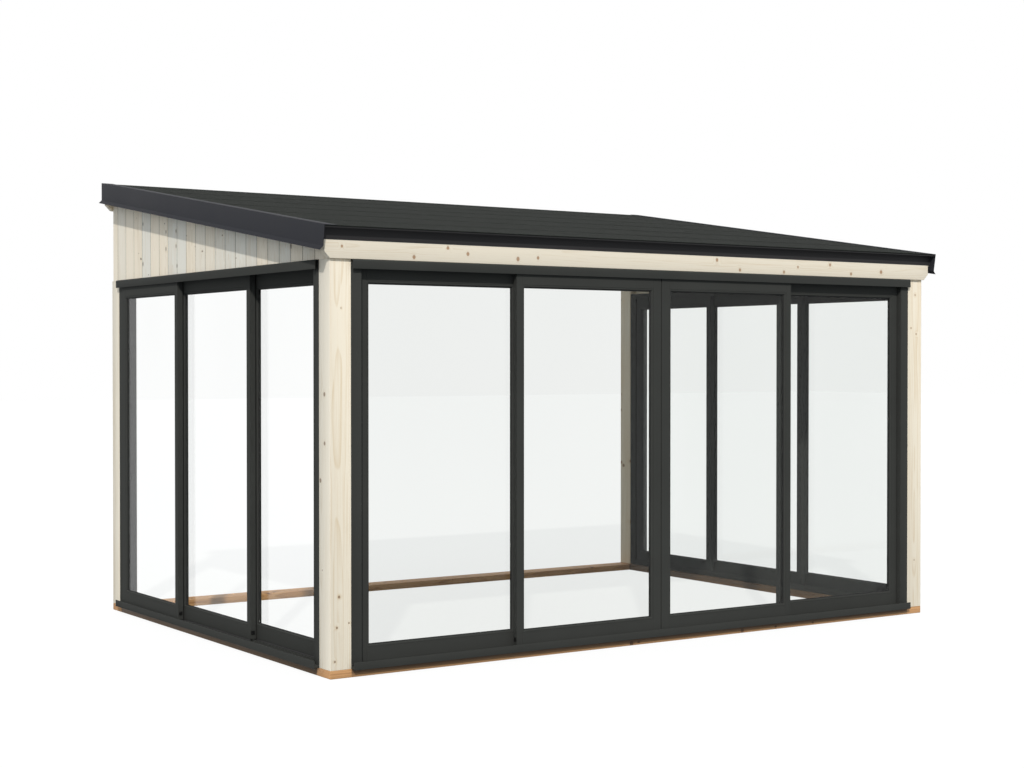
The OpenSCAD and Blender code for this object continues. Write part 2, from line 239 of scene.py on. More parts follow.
def timber(name, pale, dark, knot_heart, knots=(), flat=(1, 1, 1), ring=0.0052, spread=0.5,
           knot_share=0.55, line=0.55, mottle=0.8, cool=None, painted_lip_shadow=None):
    """Sawn or planed softwood. Attribute "grain" holds (along, across, out of the heart) and "tone"
    the shade of each stick, which counts by spread. knots, flat and knot_share are nearest_knot's.
    ring is the width of a year ring, line how dark its late wood is, mottle how cloudy the timber
    is. cool is a second tint that some sticks lean to. painted_lip_shadow is (axis, low, high, foot,
    tint): a painted shadow of a sill's lip, tinting the timber between low and high on that axis,
    by the share foot at ground level."""
    mat, tree, shader = finish(name, IOR=1.45, Specular_IOR_Level=0.3)
    m = partial(calc, tree)
    grain = add(tree, "ShaderNodeAttribute", attribute_name="grain").outputs["Vector"]
    tone = add(tree, "ShaderNodeAttribute", attribute_name="tone").outputs["Fac"]
    # the heart wanders, so that the rings run out of the faces
    part = split(tree, grain)
    sway = split(tree, noise(tree, scaled(tree, grain, WANDER), 1.0, 2.0)[1])
    across = m("MULTIPLY_ADD", m("SUBTRACT", sway[0], 0.5), WANDER_BY[0], part[1])
    out = m("MULTIPLY_ADD", m("SUBTRACT", sway[1], 0.5), WANDER_BY[1], part[2])
    reach = length(tree, across, out)
    near = nearest_knot(tree, part[0], m("ARCTAN2", across, out), reach, knot_share, knots, flat)
    swirl = ramp(tree, near, 0.6, 4.5, 1.0, 0.0)
    late = late_wood(tree, grain, m("MULTIPLY_ADD", swirl, SWIRL, reach), ring)
    # the shade from pale to dark
    streak = noise(tree, scaled(tree, grain, STREAK), 1.0, 3.0, 0.6)[0]
    fibre = noise(tree, scaled(tree, grain, FIBRE), 1.0, 2.0)[0]
    cloud = noise(tree, scaled(tree, grain, CLOUD), 1.0, 2.0)[0]
    shade = m("MULTIPLY", late, line)
    for value, weight in ((streak, STREAK_BY), (fibre, FIBRE_BY), (cloud, mottle)):
        shade = m("MULTIPLY_ADD", m("SUBTRACT", value, 0.5), weight, shade)
    shade = m("ADD", shade, m("MULTIPLY", tone, spread))
    shade = m("ADD", shade, ramp(tree, near, 0.8, 3.0, HALO, 0.0))
    if cool:
        lean = ramp(tree, m("FRACT", m("MULTIPLY", tone, 7.3)), 0.15, 0.85)
        pale = blend(tree, lean, pale, cool)
    colour = blend(tree, m("MINIMUM", m("MAXIMUM", shade, 0.0), 1.0), pale, dark)
    rays = m("MULTIPLY_ADD", m("SINE", m("MULTIPLY", near, 14.0)), 0.15, 0.8)
    core = m("MULTIPLY", ramp(tree, near, 0.7, 1.25, 1.0, 0.0), rays)
    colour = blend(tree, core, colour, knot_heart)
    # painted shadow: the sill lip's cast shadow darkens the colour under it
    if painted_lip_shadow:
        colour = blend(tree, lip_shadow_share(tree, *painted_lip_shadow[:4]), colour, painted_lip_shadow[4])
    feed(tree, shader.inputs["Base Color"], colour)
    feed(tree, shader.inputs["Roughness"], m("MULTIPLY_ADD", streak, 0.25, 0.46))
    fuzz = m("ADD", m("MULTIPLY", fibre, 0.7), m("MULTIPLY", streak, 0.4))
    height = m("ADD", m("MULTIPLY", late, 0.5), fuzz)
    bump(tree, shader, m("SUBTRACT", height, core), GRAIN_DEPTH, 0.6)
    return mat


PALE, HONEY = rgb(243, 233, 214), rgb(214, 190, 152)
BROWN = rgb(128, 88, 56)
TREATED = rgb(208, 160, 112), rgb(150, 102, 64), rgb(84, 52, 33)
FEW, HARDLY_ANY = 0.10, 0.05    # shares of the places that hold a knot


def knots_on_x(x, spots):
    """Knots on a face across X: spots are (y, z, radius)."""
    return [((x, y, z), radius) for y, z, radius in spots]


def knots_on_y(y, spots):
    """Knots on a face across Y: spots are (x, z, radius)."""
    return [((x, y, z), radius) for x, z, radius in spots]


spruce = timber("planed_spruce", PALE, HONEY, BROWN)
board_spruce = timber(
    "cladding_spruce", rgb(248, 237, 218), rgb(212, 193, 163), rgb(92, 70, 54),
    knots_on_x(CLAD_LO.x, [
        (0.989, 2.440, 0.006), (0.990, 2.194, 0.007), (0.626, 2.369, 0.006), (0.626, 2.267, 0.007),
        (0.474, 2.365, 0.006), (0.474, 2.276, 0.006), (0.460, 2.158, 0.007), (-1.039, 2.193, 0.008),
    ]),
    (1.0, 1.0, 0.5), ring=0.0042, spread=0.34, knot_share=FEW, line=0.4, cool=rgb(236, 233, 223),
)
# dark timber for the tongues and the boards' joint sides: painted shade, standing in for the shade
# deep in the joints
joint_painted_shade = timber("joint_tongue", rgb(72, 68, 58), rgb(56, 52, 44), BROWN, knot_share=0.0)

FRONT_FLAT = (1.0, 0.4, 0.8)
beam_spruce = timber(
    "beam_spruce", PALE, HONEY, rgb(166, 122, 84),
    knots_on_y(BEAM_LO.y, [
        (-2.045, 2.170, 0.006), (-1.627, 2.129, 0.009), (-1.423, 2.183, 0.008),
        (-1.300, 2.156, 0.009), (-0.984, 2.140, 0.010), (-0.854, 2.150, 0.008),
        (0.402, 2.180, 0.009), (0.577, 2.127, 0.008), (0.922, 2.125, 0.008), (1.034, 2.158, 0.006),
        (1.297, 2.179, 0.008), (1.473, 2.129, 0.008), (1.730, 2.148, 0.010),
    ]),
    FRONT_FLAT, knot_share=HARDLY_ANY, line=0.4,
)
left_spruce = timber(
    "left_post_spruce", PALE, HONEY, rgb(122, 92, 66),
    knots_on_y(LEFT_POST_LO.y, [
        (-2.055, 0.411, 0.006), (-2.067, 0.257, 0.005), (-1.999, 0.276, 0.004),
        (-2.079, 0.087, 0.005), (-2.042, 1.861, 0.003),
    ]),
    FRONT_FLAT, knot_share=0.04, ring=0.0065, spread=0.3, mottle=0.1,
)
right_spruce = timber(
    "right_post_spruce", PALE, HONEY, rgb(146, 112, 80),
    knots_on_y(RIGHT_POST_LO.y, [
        (2.048, 2.013, 0.005), (2.058, 1.767, 0.005), (2.013, 1.804, 0.005), (2.046, 0.338, 0.004),
    ]),
    FRONT_FLAT, knot_share=HARDLY_ANY,
)
# the posts' faces across X: their own knots, in cooler, greyer colours than the front's, painted to
# stand in for the bluer sky light on those sides
flank_spruce = timber(
    "flank_spruce", rgb(242, 234, 218), rgb(214, 198, 172), rgb(128, 104, 84),
    knots_on_x(LEFT_POST_LO.x, [
        (LEFT_POST_LO.y + 0.060, 1.428, 0.009), (LEFT_POST_LO.y + 0.058, 1.181, 0.008),
        (LEFT_POST_LO.y + 0.085, 0.541, 0.003),
    ]),
    (0.4, 0.9, 0.8), knot_share=HARDLY_ANY, line=0.4,
)
treated_look = dict(ring=0.0060, spread=0.35)
treated = timber("treated_timber", *TREATED, **treated_look)
front_treated = timber(
    "treated_front", *TREATED,
    knots_on_y(LEFT_POST_LO.y, [(-0.155, 0.015, 0.007), (0.876, 0.015, 0.007), (1.176, 0.015, 0.006)]),
    (0.7, 0.3, 1.0), knot_share=FEW,
    # painted shadow of the front sill's lip on the base
    painted_lip_shadow=(X, FRONT_LIP[0].x, FRONT_LIP[1].x, 0.30, rgb(62, 54, 46)), **treated_look,
)
side_treated = timber(
    "treated_side", *TREATED, knot_share=0.2,
    # painted shadow of the side sills' lips on the base
    painted_lip_shadow=(Y, SIDE_LIP[0].y, SIDE_LIP[1].y, 0.75, rgb(44, 44, 42)), **treated_look,
)


# ---- other finishes ----
def powder_coat(name, colour, gloss=0.6, sheen=0.04):
    """Matt powder coat: fine orange peel, a little dust in the shade."""
    mat, tree, shader = finish(name, IOR=1.5, Specular_IOR_Level=sheen)
    m = partial(calc, tree)
    place = room_place(tree)
    dust = noise(tree, place, 3.1, 4.0)[0]
    speck = noise(tree, place, 420.0, 2.0)[0]
    mixed = m("ADD", m("MULTIPLY", dust, 0.7), m("MULTIPLY", speck, 0.3))
    colour = blend(tree, mixed, toned(colour, 0.80), toned(colour, 1.22))
    feed(tree, shader.inputs["Base Color"], colour)
    feed(tree, shader.inputs["Roughness"], m("MULTIPLY_ADD", dust, 0.16, gloss))
    bump(tree, shader, speck, 0.00012, 0.5)
    return mat


def rubber(name, colour, rough=0.7):
    """Matt rubber, plastic or pile: a fine grit in its shade and its roughness."""
    mat, tree, shader = finish(name, Specular_IOR_Level=0.3)
    grit = noise(tree, room_place(tree), 260.0, 2.0)[0]
    feed(tree, shader.inputs["Base Color"], blend(tree, grit, colour, toned(colour, 1.5)))
    feed(tree, shader.inputs["Roughness"], calc(tree, "MULTIPLY_ADD", grit, 0.2, rough - 0.1))
    bump(tree, shader, grit, 0.0001, 0.4)
    return mat


def mineral_felt():
    """Bitumen felt faced with crushed slate, weathered along the roof."""
    mat, tree, shader = finish("mineral_felt", Specular_IOR_Level=0.08)
    place = room_place(tree)
    chip = add(tree, "ShaderNodeTexVoronoi", {"Vector": place, "Scale": 620.0})
    chips = add(tree, "ShaderNodeSeparateColor", {0: chip.outputs["Color"]}).outputs
    drift = noise(tree, scaled(tree, place, (0.5, 5.0, 5.0)), 1.4, 4.0)[0]
    weather = noise(tree, scaled(tree, place, (2.0, 16.0, 16.0)), 1.0, 3.0)[0]
    worn = calc(tree, "MULTIPLY", ramp(tree, weather, 0.35, 0.7), 0.5)
    base = blend(tree, chips[0], rgb(18, 21, 18), rgb(37, 41, 37))
    base = blend(tree, ramp(tree, drift, 0.3, 0.7), base, rgb(24, 27, 24))
    base = blend(tree, worn, base, rgb(32, 35, 32))
    feed(tree, shader.inputs["Base Color"], base)
    feed(tree, shader.inputs["Roughness"], calc(tree, "MULTIPLY_ADD", chips[1], 0.2, 0.75))
    bump(tree, shader, chip.outputs["Distance"], 0.0008, 0.6)
    return mat


def float_glass(name, tint):
    """Clear float glass. Lamps shine straight through it, so the room behind is lit."""
    mat, tree, shader = finish(name, Roughness=0.0, IOR=1.22, Transmission_Weight=1.0)
    film = noise(tree, scaled(tree, room_place(tree), (1.0, 1.0, 0.6)), 0.9, 2.0)[0]
    colour = blend(tree, ramp(tree, film, 0.3, 0.7), tint, toned(tint, 0.985))
    feed(tree, shader.inputs["Base Color"], colour)
    light = add(tree, "ShaderNodeLightPath").outputs
    through = add(tree, "ShaderNodeBsdfTransparent", {"Color": (0.93, 0.95, 0.94, 1.0)})
    passing = calc(tree, "MAXIMUM", light["Is Shadow Ray"], light["Is Diffuse Ray"])
    mixed = add(tree, "ShaderNodeMixShader", {0: passing, 1: shader, 2: through})
    feed(tree, tree.nodes["Material Output"].inputs["Surface"], mixed)
    return mat


sash_coat = powder_coat("anthracite_coat", rgb(60, 61, 59))
trim_coat = powder_coat("trim_coat", rgb(42, 43, 48), 0.55, 0.11)
# a lighter copy of the trims' coat: painted light, lifting the fascia where it lies in shade under the
# felt's edge
fascia_coat = powder_coat("fascia_coat", rgb(51, 50, 51), 0.55, 0.11)
gasket_rubber = rubber("gasket_rubber", rgb(26, 26, 26))
plug_plastic = rubber("plug_plastic", rgb(15, 15, 15), 0.45)
pile_fibre = rubber("pile_fibre", rgb(58, 58, 58), 0.9)
felt = mineral_felt()
front_glass = float_glass("front_glass", (0.862, 0.877, 0.863, 1.0))
side_glass = float_glass("side_glass", (0.975, 0.985, 0.980, 1.0))


# ---- making pieces ----
TIMBER_ARRIS, METAL_ARRIS, SASH_ARRIS = 0.0025, 0.0008, 0.0011
JAMB_ARRIS, TRIM_ARRIS = 0.0012, 0.0004


def settle(name, mesh, body, replaced=(), arris=0.0):
    """A finished piece: object at the origin, place in the mesh, riding on its body."""
    piece = bpy.data.objects.new(name, mesh)
    scene.collection.objects.link(piece)
    if arris:
        edge = piece.modifiers.new("arris", "BEVEL")
        edge.width, edge.segments, edge.limit_method = arris, 2, "ANGLE"
        edge.angle_limit = math.radians(30)
        edge.harden_normals = True
        for face in mesh.polygons:
            face.use_smooth = True
    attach(piece, body)
    if replaced:
        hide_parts(*replaced)


def written(bm, name, *materials):
    """A bmesh as a plain mesh with its materials."""
    mesh = bpy.data.meshes.new(name)
    bm.to_mesh(mesh)
    bm.free()
    for material in materials:
        mesh.materials.append(material)
    return mesh


def clean_copy(node):
    """A CAD node's shape with its corners joined and its flat faces whole."""
    bm = bmesh.new()
    bm.from_mesh(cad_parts[node].data)
    bmesh.ops.remove_doubles(bm, verts=bm.verts, dist=1e-5)
    bmesh.ops.dissolve_limit(bm, angle_limit=math.radians(0.5), verts=bm.verts, edges=bm.edges)
    return bm


def lowest(corners):
    return [min(v.co[k] for v in corners) for k in (X, Y, Z)]


def highest(corners):
    return [max(v.co[k] for v in corners) for k in (X, Y, Z)]


def solids_of(bm):
    """The separate solids of a mesh, each as its list of corners, in order of place."""
    left, groups = set(bm.verts), []
    while left:
        stack, group = [left.pop()], []
        while stack:
            vert = stack.pop()
            group.append(vert)
            for edge in vert.link_edges:
                other = edge.other_vert(vert)
                if other in left:
                    left.remove(other)
                    stack.append(other)
        groups.append(group)
    return sorted(groups, key=lambda group: [round(c, 4) for c in lowest(group)])


def mark_grain(bm, along, seed, heart=None, shift=None):
    """Writes each solid's grain and tone on its corners. along is its long axis, heart the place
    of its heart on the other two, and shift moves it along its grain. Heart and shift that are
    not given are drawn: the heart then lies near the middle, at the far or upper face."""
    grain = bm.verts.layers.float_vector.new("grain")
    tone = bm.verts.layers.float.new("tone")
    draw = random.Random(seed)
    side, out = [k for k in (X, Y, Z) if k != along]
    for group in solids_of(bm):
        low, high = lowest(group), highest(group)
        centre = heart or (
            (low[side] + high[side]) / 2 + draw.uniform(-0.02, 0.02),
            high[out] + draw.uniform(-0.03, 0.03),
        )
        move = draw.uniform(0, 40) if shift is None else shift
        shade = draw.uniform(-0.5, 0.5)
        for vert in group:
            at = vert.co
            vert[grain] = (at[along] + move, at[side] - centre[0], centre[1] - at[out])
            vert[tone] = shade


def dress_timber(name, node, along, material, seed, slot="spruce", flank=None, **where):
    """A piece of timber over a CAD node. Its faces across X take flank where that is given."""
    bm = clean_copy(node)
    mark_grain(bm, along, seed, **where)
    bm.normal_update()
    for face in bm.faces:
        face.material_index = int(bool(flank) and abs(face.normal.x) > 0.9)
    mesh = written(bm, name, *([material, flank] if flank else [material]))
    settle(name, mesh, HOUSE, [node], TIMBER_ARRIS)


def dress_metal(name, node, material, arris):
    """A metal profile over a CAD node."""
    bm = clean_copy(node)
    many_sided = [face for face in bm.faces if len(face.verts) > 4]
    bmesh.ops.triangulate(bm, faces=many_sided, ngon_method="EAR_CLIP")
    settle(name, written(bm, name, material), HOUSE, [node], arris)


# ---- posts, beams, rafters and base ----
BEAM_HEART = (BEAM_HI.y + 0.03, (BEAM_LO.z + BEAM_HI.z) / 2)
BACK_BEAM_HEART = (BACK_BEAM_LO.y - 0.03, (BACK_BEAM_LO.z + BACK_BEAM_HI.z) / 2)
LEFT_HEART = (LEFT_POST_LO.x + 0.045, LEFT_POST_LO.y + 0.085)
RIGHT_HEART = (RIGHT_POST_LO.x + 0.070, RIGHT_POST_LO.y + 0.085)

dress_timber("eaves_beam", "front_beam", X, beam_spruce, 3, heart=BEAM_HEART, shift=0.0)
dress_timber("wall_beam", "back_beam", X, spruce, 5, heart=BACK_BEAM_HEART)
dress_timber(
    "front_left_post", "post_front_left", Z, left_spruce, 11,
    flank=flank_spruce, heart=LEFT_HEART, shift=5.0,
)
dress_timber("front_right_post", "post_front_right", Z, right_spruce, 12, heart=RIGHT_HEART, shift=0.0)
dress_timber("back_left_post", "post_back_left", Z, spruce, 13, flank=flank_spruce)
dress_timber("back_right_post", "post_back_right", Z, spruce, 14)
dress_timber("rafter_set", "rafters", Y, spruce, 15)
dress_timber("side_rails", "side_headers", Y, spruce, 16)
dress_timber("gable_stud_set", "gable_studs", Z, spruce, 17)
dress_timber("verge_board_pair", "verge_boards", Y, spruce, 18)
for side, along, material, seed in (
    ("front", X, front_treated, 21), ("back", X, treated, 22),
    ("left", Y, side_treated, 23), ("right", Y, side_treated, 24),
):
    dress_timber("ground_beam_" + side, "base_" + side, along, material, seed, "treated_timber")


# ---- rows of boards ----
def board_row_tree():
    """Boards side by side along X, faces on Y, length on Z, each with its own shade and grain."""
    tree = bpy.data.node_groups.new("board_row", "GeometryNodeTree")
    m = partial(calc, tree)
    ports = tree.interface
    ports.new_socket("Geometry", in_out="INPUT", socket_type="NodeSocketGeometry")
    for kind, names in (
        ("Float", ("Length", "Cover", "Thickness", "Chamfer", "Joint", "High edge")),
        ("Int", ("Count", "Seed")),
        ("Material", ("Finish",)),
    ):
        for name in names:
            ports.new_socket(name, in_out="INPUT", socket_type="NodeSocket" + kind)
    ports.new_socket("Geometry", in_out="OUTPUT", socket_type="NodeSocketGeometry")
    given = {s.name: s for s in add(tree, "NodeGroupInput").outputs}

    # one board, standing on its end
    width = m("SUBTRACT", given["Cover"], given["Joint"])
    outline = add(tree, "GeometryNodeCurvePrimitiveQuadrilateral", {
        "Width": width, "Height": given["Thickness"],
    })
    rounded = {"Curve": outline, "Radius": given["Chamfer"]}
    outline = add(tree, "GeometryNodeFilletCurve", rounded, mode="POLY")
    sheet = add(tree, "GeometryNodeFillCurve", {"Curve": outline}, mode="NGONS")
    stick = add(tree, "GeometryNodeExtrudeMesh", {
        "Mesh": sheet, "Offset": joined(tree, z=given["Length"]), "Offset Scale": 1.0,
        "Individual": False,
    })
    foot = add(tree, "GeometryNodeFlipFaces", {"Mesh": sheet})
    board = add(tree, "GeometryNodeJoinGeometry")
    tree.links.new(stick.outputs[0], board.inputs[0])
    tree.links.new(foot.outputs[0], board.inputs[0])
    board = add(tree, "GeometryNodeMergeByDistance", {"Geometry": board, "Distance": 1e-6})

    # the row of them
    line = add(tree, "GeometryNodeMeshLine", {
        "Count": given["Count"], "Start Location": joined(tree, m("MULTIPLY", given["Cover"], 0.5)),
        "Offset": joined(tree, given["Cover"]),
    })
    row = add(tree, "GeometryNodeInstanceOnPoints", {"Points": line, "Instance": board})

    def keep(data, name, value, kind, domain):
        made = add(tree, "GeometryNodeStoreNamedAttribute", data_type=kind, domain=domain)
        for socket, given_value in (("Geometry", data), ("Name", name), ("Value", value)):
            feed(tree, made.inputs[socket], given_value)
        return made

    def dice(low, high, kind, extra):
        """A value for each board, drawn between low and high."""
        made = add(tree, "FunctionNodeRandomValue", data_type=kind)
        sockets = [s for s in made.inputs if s.enabled]
        feed(tree, sockets[0], low)
        feed(tree, sockets[1], high)
        feed(tree, made.inputs["Seed"], m("ADD", given["Seed"], extra))
        return next(s for s in made.outputs if s.enabled)

    def read(name):
        kept = add(tree, "GeometryNodeInputNamedAttribute", {"Name": name}, data_type="FLOAT_VECTOR")
        return kept.outputs[0]

    luck = dice((0.0, -1.0, 0.0), (1.0, 1.0, 1.0), "FLOAT_VECTOR", 2.0)
    here = add(tree, "GeometryNodeInputPosition")
    row = keep(row, "tone", dice(-0.5, 0.5, "FLOAT", 1.0), "FLOAT", "INSTANCE")
    row = keep(row, "luck", luck, "FLOAT_VECTOR", "INSTANCE")
    row = keep(row, "middle", here, "FLOAT_VECTOR", "INSTANCE")
    real = add(tree, "GeometryNodeRealizeInstances", {"Geometry": row})

    # the grain of each, and the last board cut to the row's end
    at, luck, middle = split(tree, here), split(tree, read("luck")), split(tree, read("middle"))
    along = m("MULTIPLY_ADD", luck[0], 37.0, at[2])
    across = m("MULTIPLY_ADD", luck[1], 0.035, m("SUBTRACT", at[0], middle[0]))
    out = m("ADD", at[1], m("MULTIPLY_ADD", luck[2], 0.05, 0.045))
    real = keep(real, "grain", joined(tree, along, across, out), "FLOAT_VECTOR", "POINT")
    held = m("MINIMUM", m("MAXIMUM", at[0], 0.0), given["High edge"])
    real = add(tree, "GeometryNodeSetPosition", {
        "Geometry": real, "Position": joined(tree, held, at[1], at[2]),
    })
    for name in ("luck", "middle"):
        real = add(tree, "GeometryNodeRemoveAttribute", {"Geometry": real, "Name": name})
    done = add(tree, "GeometryNodeSetMaterial", {"Geometry": real, "Material": given["Finish"]})
    tree.links.new(done.outputs[0], add(tree, "NodeGroupOutput").inputs[0])
    return tree


def grown(tree, **values):
    """The plain mesh that a Geometry Nodes tree makes with these named inputs."""
    seedling = bpy.data.objects.new("seedling", bpy.data.meshes.new("seedling"))
    scene.collection.objects.link(seedling)
    nodes = seedling.modifiers.new("nodes", "NODES")
    nodes.node_group = tree
    for item in tree.interface.items_tree:
        key = item.name.replace(" ", "_")
        if item.in_out == "INPUT" and key in values:
            nodes[item.identifier] = values[key]
    depsgraph = bpy.context.evaluated_depsgraph_get()
    mesh = bpy.data.meshes.new_from_object(seedling.evaluated_get(depsgraph))
    seedling.modifiers.clear()
    bpy.data.objects.remove(seedling)
    return mesh


def laid(mesh, place):
    """Takes every corner of a mesh to where place(corner) says, with its faces turned outwards."""
    for vert in mesh.vertices:
        vert.co = place(vert.co)
    mesh.update()
    bm = bmesh.new()
    bm.from_mesh(mesh)
    bmesh.ops.dissolve_degenerate(bm, edges=bm.edges, dist=1e-6)
    bmesh.ops.recalc_face_normals(bm, faces=bm.faces)
    bm.to_mesh(mesh)
    bm.free()
    return mesh


board_row = board_row_tree()

# ---- cladding of the gables ----
CLAD_T = CLAD_HI.x - CLAD_LO.x
CLAD_RUN = CLAD_HI.y - CLAD_LO.y
CLAD_COVER, CLAD_JOINT, CLAD_CHAMFER, CLAD_COUNT = 0.1359, 0.0044, 0.0006, 22
CLAD_TOP_GAP = 0.0003
TONGUE_FROM, TONGUE_TO = 0.5, 0.7    # shares of the thickness, from the outer face
TONGUE_END, TONGUE_FOOT, TONGUE_TOP = 0.001, 0.001, 0.0015
CLAD_END = 0.002                     # the row's end faces lie within this


def gable_cladding(name, node, left, seed):
    """A row of boards cut to the slope of the roof, over one sheet that is their tongues; the tongues
    and the boards' joint sides take dark timber, painted shade in the joints.
    """
    low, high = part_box(node)

    def inwards(depth):
        return low.x + depth if left else high.x - depth

    def place(p):
        y = low.y + (p.x if left else CLAD_RUN - p.x)
        top = deck_under(y) - CLAD_TOP_GAP
        return Vector((inwards(CLAD_T / 2 - p.y), y, low.z + p.z * (top - low.z)))

    mesh = laid(grown(
        board_row, Length=1.0, Cover=CLAD_COVER, Thickness=CLAD_T, Chamfer=CLAD_CHAMFER,
        Joint=CLAD_JOINT, High_edge=CLAD_RUN, Count=CLAD_COUNT, Seed=seed, Finish=board_spruce,
    ), place)
    mesh.materials.clear()
    mesh.materials.append(board_spruce)
    mesh.materials.append(joint_painted_shade)
    bm = bmesh.new()
    bm.from_mesh(mesh)
    for face in bm.faces:
        y = face.calc_center_median().y
        # the boards' side faces inside the joints take the painted shade
        joint_side_painted_shade = abs(face.normal.y) > 0.9 and low.y + CLAD_END < y < high.y - CLAD_END
        face.material_index = int(joint_side_painted_shade)

    xa, xb = sorted(inwards(share * CLAD_T) for share in (TONGUE_FROM, TONGUE_TO))
    rings = []
    for y in (low.y + TONGUE_END, high.y - TONGUE_END):
        foot, top = low.z + TONGUE_FOOT, deck_under(y) - TONGUE_TOP
        corners = (xa, foot), (xb, foot), (xb, top), (xa, top)
        rings.append([bm.verts.new((x, y, z)) for x, z in corners])
    a, b = rings
    tongue = [bm.faces.new(a), bm.faces.new(b[::-1])]
    for i in range(4):
        j = (i + 1) % 4
        tongue.append(bm.faces.new((a[i], b[i], b[j], a[j])))
    # the tongues take the painted shade too
    for face in tongue:
        face.material_index = 1
    bmesh.ops.recalc_face_normals(bm, faces=tongue)
    bm.to_mesh(mesh)
    bm.free()
    settle(name, mesh, HOUSE, [node])


gable_cladding("left_gable_cladding", "gable_boards_left", True, 4)
gable_cladding("right_gable_cladding", "gable_boards_right", False, 9)

# ---- roof boards and felt ----
ROOF_BOARD, ROOF_JOINT, ROOF_CHAMFER = 0.0950, 0.0008, 0.0030
ROOF_SLACK = 0.0002      # the boards are this much thinner than the CAD roof
ROOF_OVER = 0.02         # and run past its top edge, where they are cut upright


def up_slope(foot, along, lift):
    """(y, z) on the roof: along the slope from the foot's y, lifted off the boards' underside."""
    return (
        foot + along * math.cos(PITCH) - lift * math.sin(PITCH),
        deck_under(foot) + along * math.sin(PITCH) + lift * math.cos(PITCH),
    )


def roof_boarding():
    """Boards across the slope, seen under the eaves and from inside."""
    run = (DECK_HI.y - DECK_LO.y) / math.cos(PITCH)
    foot = BEAM_LO.y + DECK_T * math.sin(PITCH)

    def place(p):
        y, z = up_slope(foot, p.x, DECK_T / 2 - p.y)
        if y > DECK_HI.y:
            z -= (y - DECK_HI.y) * RISE
            y = DECK_HI.y
        return Vector((DECK_HI.x - p.z, y, z))

    mesh = laid(grown(
        board_row, Length=DECK_HI.x - DECK_LO.x, Cover=ROOF_BOARD, Thickness=DECK_T - ROOF_SLACK,
        Chamfer=ROOF_CHAMFER, Joint=ROOF_JOINT, High_edge=run + ROOF_OVER,
        Count=int(run / ROOF_BOARD) + 1, Seed=31, Finish=spruce,
    ), place)
    settle("roof_boarding", mesh, HOUSE, ["roof_boards"])


FELT_FROM, FELT_TO = 0.00005, 0.0039     # heights over the boards
FIRST_COURSE, COURSE, COURSE_STEP = 0.43, 0.498, 0.0008
FELT_HANG = 0.004


def felt_courses():
    """One sheet as wide as the roof whose top steps down at the lower edge of each course."""
    foot = FELT_LO.y + (DECK_T + FELT_HANG) * math.sin(PITCH)
    run = (FELT_HI.y - foot) / math.cos(PITCH)
    line, start, stop = [(0.0, DECK_T + FELT_FROM)], 0.0, FIRST_COURSE
    while start < run:
        stop = min(run, stop)
        line += [(start, DECK_T + FELT_TO), (stop, DECK_T + FELT_TO - COURSE_STEP)]
        start, stop = stop, stop + COURSE
    line.append((run, DECK_T + FELT_FROM))
    bm = bmesh.new()
    ends = []
    for x in (FELT_LO.x, FELT_HI.x):
        slope = [up_slope(foot, along, lift) for along, lift in line]
        ends.append([bm.verts.new((x, min(FELT_HI.y, y), z)) for y, z in slope])
    a, b = ends
    for i in range(len(line)):
        j = (i + 1) % len(line)
        bm.faces.new((a[i], a[j], b[j], b[i]))
    bm.faces.new(a[::-1])
    bm.faces.new(b)
    bmesh.ops.recalc_face_normals(bm, faces=bm.faces)
    settle("felt_courses", written(bm, "felt_courses", felt), HOUSE, ["roof_felt"])


roof_boarding()
felt_courses()

# ---- folded trims, and the fixed profiles of the sliding walls ----
dress_metal("left_verge_trim", "verge_trim_left", trim_coat, TRIM_ARRIS)
dress_metal("right_verge_trim", "verge_trim_right", trim_coat, TRIM_ARRIS)
dress_metal("eaves_fascia", "front_fascia", fascia_coat, TRIM_ARRIS)
for side in ("front", "left", "right"):
    dress_metal(side + "_head_profile", side + "_head", sash_coat, METAL_ARRIS)
    dress_metal(side + "_sill_profile", side + "_sill", sash_coat, METAL_ARRIS)
    dress_metal(side + "_jamb_pair", side + "_jambs", sash_coat, JAMB_ARRIS)


# ---- sashes ----
COAT, RUBBER, PLASTIC, PILE = range(4)    # a sash frame's material slots

# A wall's own measure is (along seen from outside, inwards, up); these go to the room's and back.
TO_ROOM = {
    "front": lambda u, v, z: Vector((u, v, z)),
    "left": lambda u, v, z: Vector((v, -u, z)),
    "right": lambda u, v, z: Vector((-v, u, z)),
}
TO_WALL = {
    "front": lambda p: (p.x, p.y, p.z),
    "left": lambda p: (-p.y, p.x, p.z),
    "right": lambda p: (p.y, -p.x, p.z),
}


def wall_box(side, node):
    """A CAD node's box in its wall's own measure."""
    a, b = [TO_WALL[side](corner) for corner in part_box(node)]
    return Vector(map(min, a, b)), Vector(map(max, a, b))


def block(bm, low, high, slot=COAT):
    """A square block between two corners."""
    corners = [
        bm.verts.new((x, y, z))
        for x in (low[0], high[0]) for y in (low[1], high[1]) for z in (low[2], high[2])
    ]
    for ring in ((0, 1, 3, 2), (4, 6, 7, 5), (0, 4, 5, 1), (2, 3, 7, 6), (0, 2, 6, 4), (1, 5, 7, 3)):
        bm.faces.new([corners[i] for i in ring]).material_index = slot


def rim(bm, low, high, section, slot=COAT):
    """A mitred rim round an opening: section is (outwards from the edge, depth), as a closed line."""
    loops = []
    for wide, depth in section:
        left, right = low[0] - wide, high[0] + wide
        foot, top = low[1] - wide, high[1] + wide
        corners = (left, foot), (right, foot), (right, top), (left, top)
        loops.append([bm.verts.new((u, depth, z)) for u, z in corners])
    for a, b in zip(loops, loops[1:] + loops[:1]):
        for i in range(4):
            j = (i + 1) % 4
            bm.faces.new((a[i], a[j], b[j], b[i])).material_index = slot


